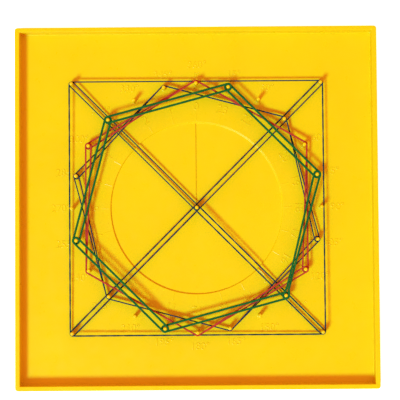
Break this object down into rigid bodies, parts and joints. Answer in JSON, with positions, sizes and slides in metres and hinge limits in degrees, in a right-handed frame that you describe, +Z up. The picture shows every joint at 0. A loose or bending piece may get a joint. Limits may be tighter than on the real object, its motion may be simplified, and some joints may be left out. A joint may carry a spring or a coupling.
{
  "type": "circular geoboard",
  "caption": "Square plastic tray with a ring of upright pegs, corner pegs and a centre peg, set out with stretched rubber bands that cross as rings, diagonals and a square.",
  "frame": {"origin": "middle of the tray's underside, on the table", "axes": "+Z up out of the tray, +Y from the centre peg towards the zero degree peg, +X towards the 90 degree peg"},
  "size_m": [0.2514, 0.2514, 0.0145],
  "materials": {
    "yellow_plastic": "smooth moulded plastic, slightly glossy",
    "blue_rubber": "matt latex rubber",
    "red_rubber": "matt latex rubber",
    "green_rubber": "matt latex rubber"
  },
  "bodies": {
    "board": {"tray": "yellow_plastic", "circle_pegs": "yellow_plastic", "corner_pegs": "yellow_plastic", "centre_peg": "yellow_plastic"},
    "diagonal_nw": {"diagonal_band_nw": "blue_rubber"},
    "diagonal_ne": {"diagonal_band_ne": "blue_rubber"},
    "diagonal_sw": {"diagonal_band_sw": "blue_rubber"},
    "diagonal_se": {"diagonal_band_se": "blue_rubber"},
    "blue_upper": {"blue_band_upper": "blue_rubber"},
    "blue_lower": {"blue_band_lower": "blue_rubber"},
    "square": {"square_band": "blue_rubber"},
    "red_upper": {"red_band_upper": "red_rubber"},
    "red_lower": {"red_band_lower": "red_rubber"},
    "green_015_075": {"green_band_015_075": "green_rubber"},
    "green_135_195": {"green_band_135_195": "green_rubber"},
    "green_255_315": {"green_band_255_315": "green_rubber"},
    "green_075_135": {"green_band_075_135": "green_rubber"},
    "green_195_255": {"green_band_195_255": "green_rubber"},
    "green_315_015": {"green_band_315_015": "green_rubber"}
  },
  "joints": [
    {"name": "diagonal_nw_lift", "type": "slide", "parent": "board", "child": "diagonal_nw", "axis": [0, 0, 1], "range_m": [0, 0.014]},
    {"name": "diagonal_ne_lift", "type": "slide", "parent": "diagonal_nw", "child": "diagonal_ne", "axis": [0, 0, 1], "range_m": [0, 0.014]},
    {"name": "diagonal_sw_lift", "type": "slide", "parent": "diagonal_ne", "child": "diagonal_sw", "axis": [0, 0, 1], "range_m": [0, 0.014]},
    {"name": "diagonal_se_lift", "type": "slide", "parent": "diagonal_sw", "child": "diagonal_se", "axis": [0, 0, 1], "range_m": [0, 0.014]},
    {"name": "blue_upper_lift", "type": "slide", "parent": "diagonal_se", "child": "blue_upper", "axis": [0, 0, 1], "range_m": [0, 0.014]},
    {"name": "blue_lower_lift", "type": "slide", "parent": "blue_upper", "child": "blue_lower", "axis": [0, 0, 1], "range_m": [0, 0.014]},
    {"name": "square_lift", "type": "slide", "parent": "blue_lower", "child": "square", "axis": [0, 0, 1], "range_m": [0, 0.014]},
    {"name": "red_upper_lift", "type": "slide", "parent": "square", "child": "red_upper", "axis": [0, 0, 1], "range_m": [0, 0.014]},
    {"name": "red_lower_lift", "type": "slide", "parent": "red_upper", "child": "red_lower", "axis": [0, 0, 1], "range_m": [0, 0.014]},
    {"name": "green_015_075_lift", "type": "slide", "parent": "red_lower", "child": "green_015_075", "axis": [0, 0, 1], "range_m": [0, 0.014]},
    {"name": "green_135_195_lift", "type": "slide", "parent": "green_015_075", "child": "green_135_195", "axis": [0, 0, 1], "range_m": [0, 0.014]},
    {"name": "green_255_315_lift", "type": "slide", "parent": "green_135_195", "child": "green_255_315", "axis": [0, 0, 1], "range_m": [0, 0.014]},
    {"name": "green_075_135_lift", "type": "slide", "parent": "green_255_315", "child": "green_075_135", "axis": [0, 0, 1], "range_m": [0, 0.014]},
    {"name": "green_195_255_lift", "type": "slide", "parent": "green_075_135", "child": "green_195_255", "axis": [0, 0, 1], "range_m": [0, 0.014]},
    {"name": "green_315_015_lift", "type": "slide", "parent": "green_195_255", "child": "green_315_015", "axis": [0, 0, 1], "range_m": [0, 0.014]}
  ]
}
